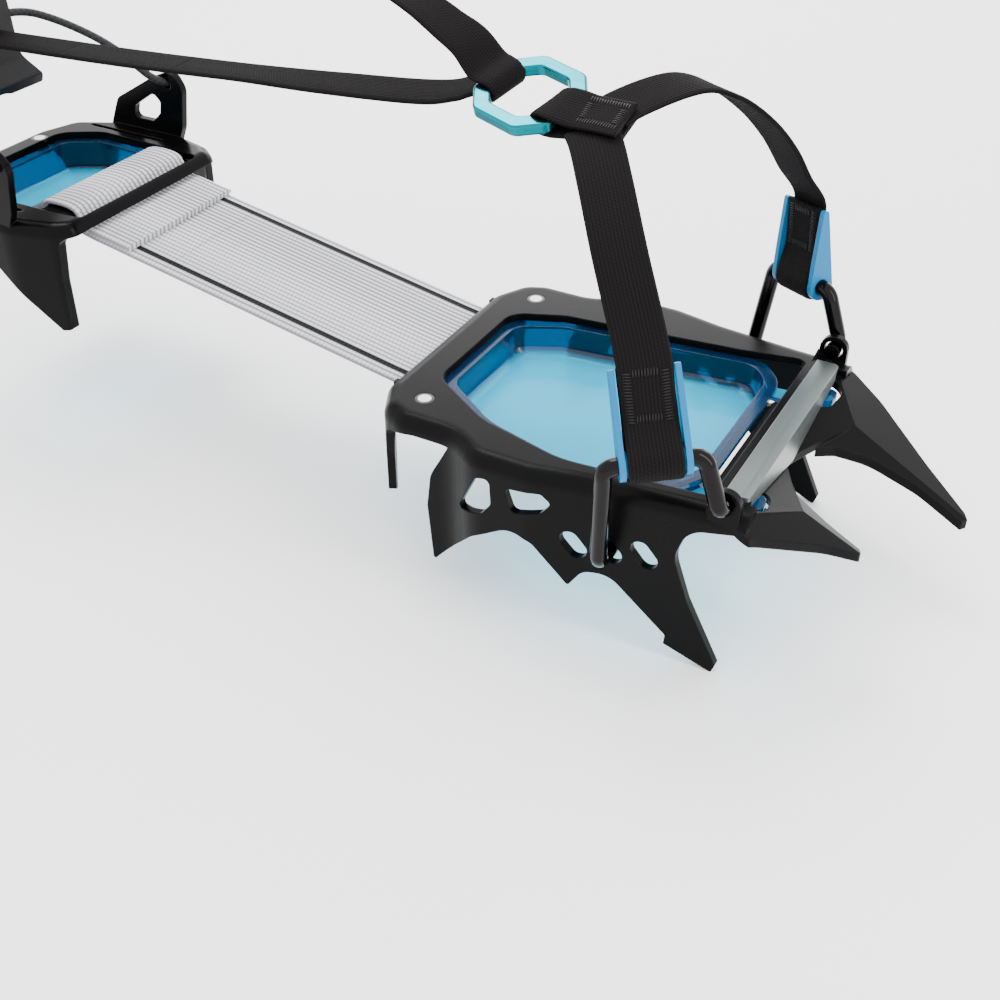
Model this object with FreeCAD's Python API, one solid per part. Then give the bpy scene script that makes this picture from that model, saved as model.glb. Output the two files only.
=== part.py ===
"""Flexible-link crampon: toe section with wire bails and webbing, webbing link, heel section with lever.

Millimetres. +X points to the toe, +Y to the left, +Z up. The origin is on the top face of the
front frame's rear bridge, on the centre line. Each function builds one piece and save() writes it.
"""
import FreeCAD, Part
import math
import os

V = FreeCAD.Vector
X, Y, Z = V(1, 0, 0), V(0, 1, 0), V(0, 0, 1)

# ---- driving dimensions -------------------------------------------------------------------
sheet = 2.6                 # front frame's steel sheet
front_fold = 5.0            # outer radius where the top plate folds into the side flanges
flange_depth = 60.0         # the side flanges are cut from walls this deep
front_lip = 5.5             # rim turned down round the top plate
rivet_x, rivet_y = 9.0, 36.9
rivet_r, rivet_head_r = 1.9, 3.0

bail_wire = 5.0             # diameter of the toe bails' wire
slot_pitch = 10.6           # three bail positions along the flange
slot_w, slot_l = 5.8, 10.0
slot_middle = V(79.5, 52.6, -21.8)
bail_ear = V(111.3, 47.9, 3.3)

web_w, web_t = 15.0, 1.6    # black webbing
link_w, link_t = 56.0, 2.2  # pale link webbing
pin_x, pin_z, pin_r = -0.5, -8.8, 2.5

heel_top = 26.4             # top face of the heel frame
heel_sheet = 2.8
heel_front, heel_rear = -128.0, -202.0
bar_x, bar_z = -143.0, 23.4         # adjuster bar that the link webbing wraps
bar_w, bar_h = 14.0, 5.0
ear_y = 44.0                # heel cord ears
cord_d = 2.8
lever_pivot = V(-197.0, 0, 74.0)

ring_c = V(25.9, -1.8, 86.5)        # strap ring
ring_half, ring_chamfer, ring_band, ring_thick = 15.0, 7.0, 4.6, 3.6
ring_tilt = (-17.0, 6.0, 16.0)      # yaw, pitch, roll in degrees


# ---- helpers ------------------------------------------------------------------------------
def wire(points, lift=None):
    """Closed wire through (u, v, radius) corners; lift turns (u, v) into a point."""
    lift = lift or (lambda u, v: V(u, v, 0))
    n = len(points)
    edges, starts, ends, arcs = [], [], [], []
    for i in range(n):
        u, v = points[i][0], points[i][1]
        r = points[i][2] if len(points[i]) > 2 else 0.0
        p = V(u, v, 0)
        a = V(points[i - 1][0], points[i - 1][1], 0) - p
        b = V(points[(i + 1) % n][0], points[(i + 1) % n][1], 0) - p
        half = a.getAngle(b) / 2
        if r <= 0 or abs(half - math.pi / 2) < 1e-3:
            starts.append(p)
            ends.append(p)
            arcs.append(None)
            continue
        cut = min(r / math.tan(half), 0.49 * a.Length, 0.49 * b.Length)
        r = cut * math.tan(half)
        a.normalize()
        b.normalize()
        mid = a + b
        mid.normalize()
        centre = p + mid * (r / math.sin(half))
        starts.append(p + a * cut)
        ends.append(p + b * cut)
        arcs.append(centre - mid * r)
    for i in range(n):
        if arcs[i] is not None:
            three = [lift(q.x, q.y) for q in (starts[i], arcs[i], ends[i])]
            edges.append(Part.Arc(*three).toShape())
        j = (i + 1) % n
        if (starts[j] - ends[i]).Length > 1e-6:
            edges.append(Part.makeLine(lift(ends[i].x, ends[i].y), lift(starts[j].x, starts[j].y)))
    return Part.Wire(edges)


def slab_xy(points, z0, z1):
    """Plan outline between two heights."""
    return Part.Face(wire(points, lambda u, v: V(u, v, z0))).extrude(Z * (z1 - z0))


def slab_xz(points, y0, y1):
    """Side outline between two y values."""
    return Part.Face(wire(points, lambda u, v: V(u, y0, v))).extrude(Y * (y1 - y0))


def box(x0, x1, y0, y1, z0, z1):
    return Part.makeBox(x1 - x0, y1 - y0, z1 - z0, V(x0, y0, z0))


def mirrored(half):
    """Closed outline from its y > 0 half, listed from the rear to the front."""
    return half + [(p[0], -p[1], *p[2:]) for p in reversed(half)]


def left(shape):
    """The same piece on the other side."""
    return shape.mirror(V(0, 0, 0), Y)


def both(shape):
    return shape.fuse(left(shape))


def tube(points, d, bends):
    """Round bar through points; bends gives the radius at each inner point."""
    edges, last = [], points[0]
    for i in range(1, len(points) - 1):
        p = points[i]
        a, b = points[i - 1] - p, points[i + 1] - p
        a.normalize()
        b.normalize()
        half = a.getAngle(b) / 2
        r = bends[i - 1]
        cut = r / math.tan(half)
        mid = a + b
        mid.normalize()
        centre = p + mid * (r / math.sin(half))
        edges.append(Part.makeLine(last, p + a * cut))
        edges.append(Part.Arc(p + a * cut, centre - mid * r, p + b * cut).toShape())
        last = p + b * cut
    edges.append(Part.makeLine(last, points[-1]))
    path = Part.Wire(edges)
    start = points[1] - points[0]
    section = Part.Wire([Part.makeCircle(d / 2, points[0], start)])
    return path.makePipeShell([section], True, False)


def tub(half, top, thickness, fold, depth):
    """Inverted tray with a rounded fold: the folded sheet before its teeth are cut."""
    def block(outline, z_top, z_low, radius):
        solid = Part.Face(outline).extrude(Z * (z_low - z_top))
        solid.translate(Z * z_top)
        rim = [e for e in solid.Edges if min(v.Z for v in e.Vertexes) > z_top - 1e-4]
        return solid.makeFillet(radius, rim)
    outline = wire(mirrored(half))
    shrunk = Part.Face(outline).makeOffset2D(-thickness).OuterWire
    outer = block(outline, top, top - depth, fold)
    inner = block(shrunk, top - thickness, top - depth, fold - thickness)
    return outer.cut(inner)


def hole(centre, axis, r, length):
    axis = V(axis)
    axis.normalize()
    return Part.makeCylinder(r, length, centre - axis * (length / 2), axis)


def obround(centre, direction, width, length, normal, depth):
    """Slot cutter: its long way runs along direction, through along normal."""
    d, n = V(direction), V(normal)
    d.normalize()
    n.normalize()
    side = n.cross(d)
    side.normalize()
    h, r = (length - width) / 2, width / 2
    start = centre - n * (depth / 2)
    a, b = start - d * h, start + d * h
    edges = [Part.makeLine(a + side * r, b + side * r),
             Part.Arc(b + side * r, b + d * r, b - side * r).toShape(),
             Part.makeLine(b - side * r, a - side * r),
             Part.Arc(a - side * r, a - d * r, a + side * r).toShape()]
    return Part.Face(Part.Wire(edges)).extrude(n * depth)


def save(name, shape):
    shape = shape.removeSplitter() if len(shape.Solids) == 1 else shape
    if len(shape.Solids) == 1:
        shape = shape.Solids[0]
    os.makedirs("parts", exist_ok=True)
    shape.exportStep(f"parts/{name}.step")
    b = shape.BoundBox
    print(f"{name}: {len(shape.Solids)} solid(s) {shape.isValid()} {shape.Volume:.0f} mm3 "
          f"x {b.XMin:.1f}..{b.XMax:.1f} y {b.YMin:.1f}..{b.YMax:.1f} z {b.ZMin:.1f}..{b.ZMax:.1f}")


# ---- front section ------------------------------------------------------------------------
front_half = [(-6.5, 34.0, 9), (-0.5, 46.0, 9), (7.0, 49.5, 10), (25.0, 49.5, 14), (36.0, 56.5, 14),
              (55.0, 56.5, 14), (72.0, 53.0, 30), (100.0, 50.0, 20), (128.0, 48.0, 0)]
window_pts = [(6.5, -23.7, 8), (30.0, -38.5, 30), (60.0, -46.0, 30), (105.0, -42.0, 3), (105.0, 42.0, 3),
              (84.0, 38.0, 20), (38.0, 32.5, 20), (24.0, 31.0, 10), (6.5, 23.7, 8)]
teeth = [(26.5, 0, 0), (24.5, -6, 3), (18.0, -18, 10), (16.5, -30, 8), (18.3, -51, 0.6), (36.0, -30.5, 14),
         (49.0, -22.5, 12), (56.5, -25.5, 5), (67.7, -38.6, 0.6), (72.0, -32.2, 5), (80.0, -31.0, 10),
         (98.3, -48.2, 1), (98.0, -51.6, 0.5), (113.2, -57.4, 0.6), (114.2, -54.4, 0.6),
         (103.8, -33.5, 20), (98.6, -18.5, 10), (102.0, -8.0, 8), (118.0, -5.0, 0), (118.0, 0, 0)]


def front_teeth_and_holes(shell):
    """Cuts the tray's walls down to the lip, the side points and the two rear hooks."""
    keep = box(-12, 118, -70, 70, -front_lip, 1)
    keep = keep.fuse(slab_xz(teeth, -70, 70))
    wall = V(6.0, 12.0, 0)                      # the chamfered rear corner runs this way
    wall.normalize()
    normal = V(-wall.y, wall.x, 0)
    start = V(-6.5, 34.0, 0)
    hook = [(-7.0, 1, 0), (-6.5, -5, 3), (4.0, -12, 8), (7.5, -35.5, 0.5), (11.3, -33.5, 0.5),
            (11.5, -20, 10), (14.0, -8, 5), (24.0, -5, 3), (24.0, 1, 0)]
    profile = wire(hook, lambda s, v: start + wall * s + Z * v - normal * 14)
    blade = Part.Face(profile).extrude(normal * 26)
    keep = keep.fuse([blade, left(blade)])
    shell = shell.common(keep)
    triangle = [(29.5, -24.0, 1), (37.8, -8.0, 2), (42.5, -6.8, 2), (43.0, -16.0, 3), (39.8, -20.3, 2)]
    trapezoid = [(47.2, -8.3, 2), (59.0, -7.0, 2), (62.2, -10.0, 1.5), (59.0, -14.0, 2), (50.0, -16.5, 2)]
    for pts in (triangle, trapezoid):
        shell = shell.cut(slab_xz(pts, -70, 70))
    for k in (-1, 0, 1):
        at = slot_middle + X * (k * slot_pitch) + Z * (k * 1.2)
        cutter = obround(at, V(0.62, 0, -0.78), slot_w, slot_l, Y, 24)
        shell = shell.cut(cutter).cut(left(cutter))
    return shell


def slope_slab(region, a, b, c, thickness):
    """Part of a sloping sheet: a plan region of the plane through a, b and c."""
    n = (b - a).cross(c - a)
    n.normalize()
    n = n if n.z > 0 else n * -1
    far = 400.0
    height = lambda u, v: a.z - (n.x * (u - a.x) + n.y * (v - a.y)) / n.z
    corners = [V(u, v, height(u, v)) for u, v in ((-far, -far), (far, -far), (far, far), (-far, far))]
    top = Part.Face(Part.makePolygon(corners + corners[:1]))
    sheet_solid = top.extrude(Z * (-thickness / n.z))
    return slab_xy(region, -90, 40).common(sheet_solid)


def frontal_point(length):
    """Ridged point in front of the toe; length shortens it from the tip."""
    notch, crest = V(115.4, 0, -11.0), V(127.0, 25.0, -8.5)
    corner, tip = V(117.0, 40.0, -3.0), V(166.0, 22.5, -29.0)
    inner_root, outer_root = V(117.5, 9.0, -11.9), V(112.0, 48.0, -1.0)
    root = [(106.0, -0.5), (113.5, -0.5, 1), (115.8, 5.0, 2), (119.0, 11.5, 0), (127.0, 25.0),
            (117.0, 40.0), (114.0, 48.5), (106.0, 48.5)]
    inner = [(119.0, 11.5), (124.0, 15.5, 8), (134.0, 19.6, 30), (150.0, 21.6, 30), (164.6, 20.8, 0.8),
             (166.0, 22.5), (127.0, 25.0)]
    outer = [(117.0, 40.0), (127.0, 25.0), (166.0, 22.5), (164.6, 24.6, 0.8), (149.0, 33.0, 40),
             (129.5, 45.3, 20), (118.0, 49.6, 8), (112.0, 48.5)]
    solid = slope_slab(root, notch, crest, corner, sheet)
    solid = solid.fuse([slope_slab(inner, crest, tip, inner_root, sheet),
                        slope_slab(outer, crest, tip, outer_root, sheet)])
    if length < 1:
        x_cut = 127.0 + (166.0 - 127.0) * length
        trim = [(100, -5), (x_cut - 24, -5), (x_cut - 13, 10.0, 30), (x_cut - 1.5, 20.5, 1.5),
                (x_cut, 24.0, 1.5), (x_cut - 9, 31.0, 30), (x_cut - 24, 47.0, 30), (x_cut - 34, 60), (100, 60)]
        solid = solid.common(slab_xy(trim, -90, 40))
    lug_hole = slab_xy([(111.5, 26.0, 3), (117.5, 26.0, 4), (119.5, 37.0, 4), (111.5, 40.0, 3)], -20, 10)
    return solid.cut(lug_hole)


def rivet_hole(x, y, top):
    """Through hole with a counterbore that takes a flush rivet head."""
    return hole(V(x, y, top), Z, rivet_r, 20).fuse(Part.makeCylinder(rivet_head_r + 0.05, 5, V(x, y, top - 0.95)))


def front_frame():
    shell = tub(front_half, 0, sheet, front_fold, flange_depth)
    shell = shell.cut(slab_xy(window_pts, -12, 5))
    shell = front_teeth_and_holes(shell)
    shell = shell.cut(box(108.0, 140, -41.0, 41.0, -12, 5))
    shell = shell.fuse([frontal_point(1.0), left(frontal_point(0.46))])
    apron = slope_slab([(100.5, -24.0), (108.0, -24.0), (108.0, 24.0), (100.5, 24.0)],
                       V(98.0, 0, -6.5), V(110.0, 0, -9.6), V(98.0, 20, -6.5), sheet)
    shell = shell.fuse(apron)
    ear = Part.makeCylinder(4.5, 2.4, bail_ear - Y * 1.3, Y)
    ear = ear.fuse(box(bail_ear.x - 4.5, bail_ear.x + 4.5, 46.6, 49.0, -5.0, bail_ear.z))
    shell = shell.fuse(both(ear)).cut(both(hole(bail_ear, Y, 3.0, 8)))
    for side in (-1, 1):
        shell = shell.cut(rivet_hole(rivet_x, side * rivet_y, 0))
    lug = slab_xz([(pin_x - 5, -1.0), (pin_x - 5, pin_z - 1, 3), (pin_x, pin_z - 5, 3), (pin_x + 5, pin_z - 1, 3),
                   (pin_x + 5, -1.0)], link_w / 2 + 1.5, link_w / 2 + 4.0)
    shell = shell.fuse(both(lug)).cut(box(-7.5, -1.5, -28.8, 28.8, -7.0, -sheet - 0.15))
    return shell.cut(hole(V(pin_x, 0, pin_z), Y, pin_r, 90))


def front_crossbar():
    top = slab_xy([(108.2, -40.8), (115.5, -40.8, 2), (115.5, 40.8, 2), (108.2, 40.8)], 0.0, 1.8)
    lip_low = lambda y: -10.3 + 0.2094 * abs(y)
    face = [V(113.7, y, z) for y, z in ((-38, 0.5), (-38, lip_low(38)), (0, lip_low(0)), (38, lip_low(38)), (38, 0.5))]
    lip = Part.Face(Part.makePolygon(face + face[:1])).extrude(X * 1.8)
    return top.fuse(lip)


pan_pts = [(8.0, -22.0, 8), (30.0, -37.0, 30), (58.0, -44.5, 30), (90.0, -41.5, 10), (98.5, -28.0, 12),
           (98.5, 28.0, 12), (90.0, 37.5, 10), (38.0, 31.5, 20), (24.0, 30.0, 10), (8.0, 22.0, 8)]


def dish(points, top, floor, wall, round_r, flange):
    """Moulded dish hung in a window: flange under the sheet, rounded walls, thin floor."""
    outline = Part.Face(wire(points))
    grown = lambda d, z: outline.makeOffset2D(d).translated(Z * z)

    def block(d, z_top, z_low, r):
        solid = grown(d, z_top).extrude(Z * (z_low - z_top))
        low = [e for e in solid.Edges if max(v.Z for v in e.Vertexes) < z_low + 1e-4]
        return solid.makeFillet(r, low)
    outer = block(-0.6, top, floor, round_r)
    inner = block(-0.6 - wall, top + 2, floor + wall, round_r - wall)
    ring = grown(flange, top - wall).extrude(Z * wall)
    return outer.fuse(ring).cut(inner)


def front_antiball_plate():
    plate = dish(pan_pts, -sheet - 0.05, -14.5, 1.5, 5.5, 2.2)
    tab = slab_xy([(5.2, 22.0, 1), (15.0, 24.0, 1), (16.5, 38.0, 4), (8.0, 42.0, 4), (5.2, 36.0, 3)],
                  -sheet - 1.55, -sheet - 0.05)
    tab = tab.cut(Part.Face(wire(pan_pts)).makeOffset2D(-2.0).translated(Z * -8).extrude(Z * 8))
    tongue = slab_xy([(94.0, 28.5), (112.0, 28.5, 1), (118.0, 28.5, 2), (118.0, 36.0, 3), (94.0, 34.0)], -9.8, -8.3)
    tongue = tongue.cut(Part.Face(wire(pan_pts)).makeOffset2D(-2.0).translated(Z * -13).extrude(Z * 12))
    boss = slab_xy([(112.3, 28.5, 2), (117.2, 28.5, 2.5), (118.0, 36.0, 3), (112.3, 36.0, 2)], -9.8, -4.6)
    plate = plate.fuse([both(tab), both(tongue), both(boss)])
    for side in (-1, 1):
        plate = plate.cut(hole(V(rivet_x, side * rivet_y, -3), Z, rivet_r, 20))
    return plate


def rivet(x, y, top, grip):
    """Rivet with a flush head on top and a closed head below."""
    head = Part.makeCylinder(rivet_head_r, 0.9, V(x, y, top - 0.93))
    shank = Part.makeCylinder(rivet_r - 0.02, grip, V(x, y, top - grip))
    tail = Part.makeCylinder(2.8, 1.2, V(x, y, top - grip - 1.2))
    return head.fuse([shank.cut(Part.makeCylinder(5, 5, V(x, y, top - 0.5))), tail])


def front_rivets():
    grip = sheet + 1.55 + 0.9
    return Part.makeCompound([rivet(rivet_x, side * rivet_y, 0, grip) for side in (-1, 1)])


def washer(x, y, top):
    ring = Part.makeCylinder(4.2, 0.85, V(x, y, top - 0.85))
    return ring.cut(Part.makeCylinder(rivet_r, 4, V(x, y, top - 2)))


def rivet_washers():
    return Part.makeCompound([washer(rivet_x, side * rivet_y, -sheet - 1.6) for side in (-1, 1)])


def strap_anchor_pin():
    half = link_w / 2 + 4.0
    pin = Part.makeCylinder(pin_r - 0.03, 2 * half, V(pin_x, -half, pin_z), Y)
    heads = [Part.makeCylinder(pin_r + 0.7, 1.2, V(pin_x, y, pin_z), Y) for y in (-half - 1.2, half)]
    return pin.fuse(heads)


# ---- toe bails and straps -------------------------------------------------------------------
bail_rear_top, bail_front_top = V(83.0, 67.0, 17.5), V(105.5, 52.5, 20.0)


def toe_bail():
    """Wire bail: rear end through the flange's slot, front end through the ear."""
    elbow = V(bail_ear.x, 52.6, bail_ear.z)
    route = [slot_middle - Y * 6.0, slot_middle + Y * 6.5, bail_rear_top, bail_front_top, elbow, elbow - Y * 8.0]
    return tube(route, bail_wire, [4.5, 3.7, 3.7, 3.0])


def frame_matrix(origin, u, w):
    """Placement whose local x runs along u and local y along w (made square to u)."""
    u, w = V(u), V(w)
    u.normalize()
    w = w - u * u.dot(w)
    w.normalize()
    n = u.cross(w)
    return FreeCAD.Matrix(u.x, w.x, n.x, origin.x, u.y, w.y, n.y, origin.y, u.z, w.z, n.z, origin.z, 0, 0, 0, 1)


clip_at = (bail_rear_top + bail_front_top) * 0.5
left_up, right_up = V(0, 0, 1), V(-12.0, -14.0, 27.0)


def strap_clip(up):
    """Saddle round the bail wire with two tapering cheeks beside the webbing."""
    eye = Part.makeCylinder(4.4, 19.4, V(-9.7, 0, 0), X)
    cheek = Part.Face(wire([(-4.4, 0), (-3.2, 8, 8), (-0.6, 25, 0.8), (1.4, 25.5, 0.8), (3.6, 8, 8), (4.4, 0)],
                           lambda n, w: V(-9.7, w, n))).extrude(X * 1.7)
    solid = eye.fuse([cheek, cheek.translated(X * 17.7)])
    saddle = Part.makeCylinder(7, 15.8, V(-7.9, 0, 0), X).cut(Part.makeCylinder(3.6, 15.8, V(-7.9, 0, 0), X))
    solid = solid.cut(saddle).cut(Part.makeCylinder(bail_wire / 2 + 0.06, 24, V(-12, 0, 0), X))
    return solid.transformGeometry(frame_matrix(clip_at, bail_front_top - bail_rear_top, up))


def ribbon(stations, width, thick):
    """Flat webbing solid through stations (centre, across, normal)."""
    rings = []
    for centre, across, normal in stations:
        a, n = V(across), V(normal)
        a.normalize()
        n = n - a * a.dot(n)
        n.normalize()
        a, n = a * (width / 2), n * (thick / 2)
        corners = [centre - a - n, centre + a - n, centre + a + n, centre - a + n]
        rings.append(Part.makePolygon(corners + corners[:1]))
    return Part.makeLoft(rings, True, True)


def toe_strap(up, points, end, end_across):
    """Webbing from the clip's saddle over the toe to the middle of the patch."""
    place = frame_matrix(clip_at, bail_front_top - bail_rear_top, up)
    low = [place.multVec(V(0, w, 0)) for w in (5.0, 26.5)]
    points, stations = low + points + end, []
    last = len(points) - 1
    start_across = (bail_front_top - bail_rear_top).normalize()
    for i, p in enumerate(points):
        ahead, behind = (1, 0) if i < 2 else (i + 1, i - 1) if i < last - 1 else (last, last - 1)
        run = points[ahead] - points[behind]
        turn = min(1.0, max(0, i - 1) / (last - 2.0))
        across = start_across * (1 - turn) + end_across * turn
        across = across - run * (across.dot(run) / run.dot(run))
        stations.append((p, across, run.cross(across)))
    return ribbon(stations, web_w - 0.2, web_t)


def ring_point(x, y, z):
    return ring_c + FreeCAD.Rotation(*ring_tilt).multVec(V(x, y, z))


ring_run = V(0.951, -0.291, -0.105)     # the ring's own X direction


def left_toe_strap():
    points = [V(88.8, 54.0, 55.9), V(85.3, 46.0, 67.3), V(80.1, 37.0, 77.9), V(72.8, 28.0, 86.2), V(65.2, 19.5, 90.1)]
    return toe_strap(left_up, points, [ring_point(24.8, 12.0, 0), ring_point(24.6, 5.4, 0)], ring_run)


def right_toe_strap():
    ends = [ring_point(29.6, -4.6, 0), ring_point(24.5, -1.4, 0)]
    across = ring_point(0.53, 0.85, 0) - ring_c
    flip = [V(p.x, -p.y, p.z) for p in ends + [across]]
    return left(toe_strap(right_up, [V(70.3, 36.0, 64.3), V(60.0, 24.0, 76.4)], flip[:2], flip[2]))


def ring_place(shape):
    shape = shape.copy()
    shape.Placement = FreeCAD.Placement(ring_c, FreeCAD.Rotation(*ring_tilt))
    return shape


def octagon(half, chamfer, r):
    k = half - chamfer
    return [(-half, -k, r), (-half, k, r), (-k, half, r), (k, half, r), (half, k, r), (half, -k, r),
            (k, -half, r), (-k, -half, r)]


def strap_ring():
    inner = octagon(ring_half - ring_band, ring_chamfer - 2.0, 3)
    ring = slab_xy(octagon(ring_half, ring_chamfer, 4), -ring_thick / 2, ring_thick / 2)
    ring = ring.cut(slab_xy(inner, -5, 5))
    rims = [e for e in ring.Edges if abs(e.Vertexes[0].Z - e.Vertexes[-1].Z) < 1e-6]
    return ring_place(ring.makeFillet(0.7, rims))


def ring_patch():
    """Webbing folded round the ring's front bar, its two layers sewn over the toe strap."""
    half = [(31.9, 2.7), (18.0, 2.7, 6), (15.2, 3.6, 3), (8.6, 3.6, 2)]
    hollow = [(10.2, 1.95, 0.5), (15.0, 1.95, 2), (17.2, 1.0, 2), (31.9, 1.0)]
    flip = lambda pts: [(p[0], -p[1]) + p[2:] for p in reversed(pts)]
    profile = half + flip(half) + flip(hollow) + hollow
    plan = [(8.0, -4.4), (10.6, -4.4), (13.0, -7.4, 2), (17.4, -6.6, 4), (31.4, -2.6, 1.5), (31.9, 13.6, 1.5),
            (17.0, 8.0, 4), (13.0, 6.4, 2), (10.6, 4.4), (8.0, 4.4)]
    return ring_place(slab_xz(profile, -20, 20).common(slab_xy(plan, -6, 6)))


# ---- link webbing -------------------------------------------------------------------------
def link_line(x):
    """Centre height of the link's main run."""
    return pin_z + pin_r + 0.1 + link_t / 2 - 0.177 * (x - pin_x)


def loop_round(x, z, half_len, r, thick):
    """Webbing wrapped round a capsule-shaped bar."""
    def capsule(rad):
        pts = [(x - half_len - rad, z - rad, rad), (x + half_len + rad, z - rad, rad),
               (x + half_len + rad, z + rad, rad), (x - half_len - rad, z + rad, rad)]
        return slab_xz(pts, -link_w / 2, link_w / 2)
    return capsule(r + thick).cut(capsule(r))


def link_strap():
    x0, x1 = pin_x + 0.4, bar_x + bar_w / 2 - 1.0
    t = link_t / 2
    main = slab_xz([(x0, link_line(x0) - t), (x0, link_line(x0) + t), (x1, link_line(x1) + t),
                    (x1, link_line(x1) - t)], -link_w / 2, link_w / 2)
    clear = Part.makeCylinder(pin_r + 0.1, link_w + 4, V(pin_x, -link_w / 2 - 2, pin_z), Y)
    front_loop = Part.makeCylinder(pin_r + 0.1 + link_t, link_w, V(pin_x, -link_w / 2, pin_z), Y)
    wrap = loop_round(bar_x, bar_z, (bar_w - bar_h) / 2, bar_h / 2 + 0.1, link_t)
    x2, x3 = bar_x + bar_w / 2 - 0.5, -113.7
    tail = slab_xz([(x2, link_line(x2) + t), (x2, link_line(x2) + 3 * t), (x3, link_line(x3) + 3 * t),
                    (x3, link_line(x3) + t)], -link_w / 2 + 0.3, link_w / 2 - 0.3)
    bar_room = loop_round(bar_x, bar_z, (bar_w - bar_h) / 2, 0.01, bar_h / 2 + 0.09)
    return main.fuse([front_loop, wrap, tail]).cut(clear).cut(bar_room)


def adjuster_bar():
    r = bar_h / 2
    pts = [(bar_x - bar_w / 2, bar_z - r, r - 0.01), (bar_x + bar_w / 2, bar_z - r, r - 0.01),
           (bar_x + bar_w / 2, bar_z + r, r - 0.01), (bar_x - bar_w / 2, bar_z + r, r - 0.01)]
    bar = slab_xz(pts, -30.2, 30.2)
    tongue_top = heel_top - heel_sheet - 0.1
    end = slab_xz([(bar_x - 4.5, bar_z - r + 0.3, 0.6), (bar_x + 4.5, bar_z - r + 0.3, 0.6),
                   (bar_x + 4.5, tongue_top, 0.6), (bar_x - 4.5, tongue_top, 0.6)], -36.5, 36.5)
    return bar.fuse(end)


# ---- heel section ---------------------------------------------------------------------------
heel_half = [(heel_rear, 22.0, 12), (heel_rear + 5.0, 38.0, 10), (-180.0, 46.5, 12), (-150.0, 46.5, 20),
             (-134.0, 42.0, 7), (heel_front, 37.0, 6)]
heel_window = [(-131.0, -31.0, 2), (-131.0, 31.0, 2), (-150.0, 32.0, 4), (-178.0, 32.5, 12), (-192.0, 24.0, 8),
               (-192.0, -24.0, 8), (-178.0, -32.5, 12), (-150.0, -32.0, 4)]
heel_teeth = [(-127.0, 27, 0), (-127.0, 22.4, 0), (-132.5, 21.5, 3), (-133.5, 6, 6), (-133.6, -12.5, 0.6),
              (-136.8, -13.0, 0.6), (-158.0, 8.5, 20), (-168.0, 21.4, 8), (-180.0, 21.4, 8), (-186.0, 4.0, 20),
              (-192.5, -13.0, 0.6), (-195.5, -12.4, 0.6), (-197.0, 8.0, 10), (-199.0, 22.0, 4), (-204.0, 22.0, 0),
              (-204.0, 27, 0)]


def heel_frame():
    shell = tub(heel_half, heel_top, heel_sheet, 4.6, 42.0)
    side = box(-205, -125, 33.0, 60, 20, 28)
    keep = box(-210, -120, -60, 60, heel_top - 4.0, 30).fuse(slab_xz(heel_teeth, -60, 60).common(both(side).fuse(
        box(-205, -125, -60, 60, -20, 21))))
    keep = keep.cut(box(-210, -198.5, -20, 20, -30, heel_top - 4.0)).cut(box(-134, -120, -33, 33, -30, heel_top - 4.0))
    shell = shell.common(keep)
    shell = shell.cut(slab_xy(heel_window, 10, 40))
    slot = slab_xy([(-187.0, 35.4, 0.8), (-152.0, 35.4, 0.8), (-152.0, 37.2, 0.8), (-187.0, 37.2, 0.8)], 10, 40)
    shell = shell.cut(both(slot))
    ear = slab_xz([(-150.0, 22.0), (-146.5, 30.0, 6), (-143.8, 46.0, 6), (-149.0, 51.5, 5), (-157.0, 48.4, 6),
                   (-177.2, 36.8, 5), (-180.0, 31.0, 5), (-184.0, 22.0)], ear_y - 1.4, ear_y + 1.4)
    gap = slab_xz([(-168.7, 35.3, 2), (-158.7, 41.7, 2), (-155.5, 38.7, 2), (-156.6, 34.0, 2), (-160.6, 30.4, 2),
                   (-170.1, 30.3, 2)], ear_y - 5, ear_y + 5)
    cord_hole = hole(V(-151.0, ear_y, 46.0), Y, cord_d / 2 + 0.15, 10)
    shell = shell.fuse(both(ear)).cut(both(gap)).cut(both(cord_hole))
    for y in (-16.2, 16.2):
        shell = shell.cut(rivet_hole(-195.0, y, heel_top))
    return shell


heel_pan = [(-154.6, -30.5, 3), (-154.6, 30.5, 3), (-177.0, 31.5, 11), (-191.0, 23.5, 8), (-191.0, -23.5, 8),
            (-177.0, -31.5, 11)]


def heel_antiball_plate():
    top = heel_top - heel_sheet - 0.05
    plate = dish(heel_pan, top, heel_top - 15.0, 1.5, 2.8, 1.8)
    tab = slab_xy([(-189.0, 10.0), (-197.3, 12.0, 3), (-197.3, 20.5, 3), (-189.0, 23.0)], top - 1.5, top)
    tab = tab.cut(Part.Face(wire(heel_pan)).makeOffset2D(-2.0).translated(Z * 10).extrude(Z * 20))
    plate = plate.fuse(both(tab))
    for side in (-1, 1):
        plate = plate.cut(hole(V(-195.0, side * 16.2, heel_top), Z, rivet_r, 20))
    return plate


def heel_rivets():
    grip = heel_sheet + 1.6
    return Part.makeCompound([rivet(-195.0, side * 16.2, heel_top, grip) for side in (-1, 1)])


cord_side = [V(-151.0, 48.4, 46.0), V(-151.0, 39.5, 46.0), V(-167.0, 36.0, 59.5), V(-184.0, 27.0, 69.5),
             V(-197.0, 18.5, 74.0)]


def heel_cord():
    route = cord_side + [V(p.x, -p.y, p.z) for p in reversed(cord_side)]
    bends = [2.9, 30.0, 30.0, 5.6]
    return tube(route, cord_d, bends + bends[::-1])


def cord_stoppers():
    """Crimped beads that stop the cord outside each ear."""
    bead = Part.makeCylinder(3.1, 3.0, V(-151.0, ear_y + 1.45, 46.0), Y)
    bead = bead.makeFillet(0.9, bead.Edges)
    bead = bead.cut(Part.makeCylinder(cord_d / 2 + 0.01, 8, V(-151.0, ear_y - 1, 46.0), Y))
    return Part.makeCompound([bead, left(bead)])


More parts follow.
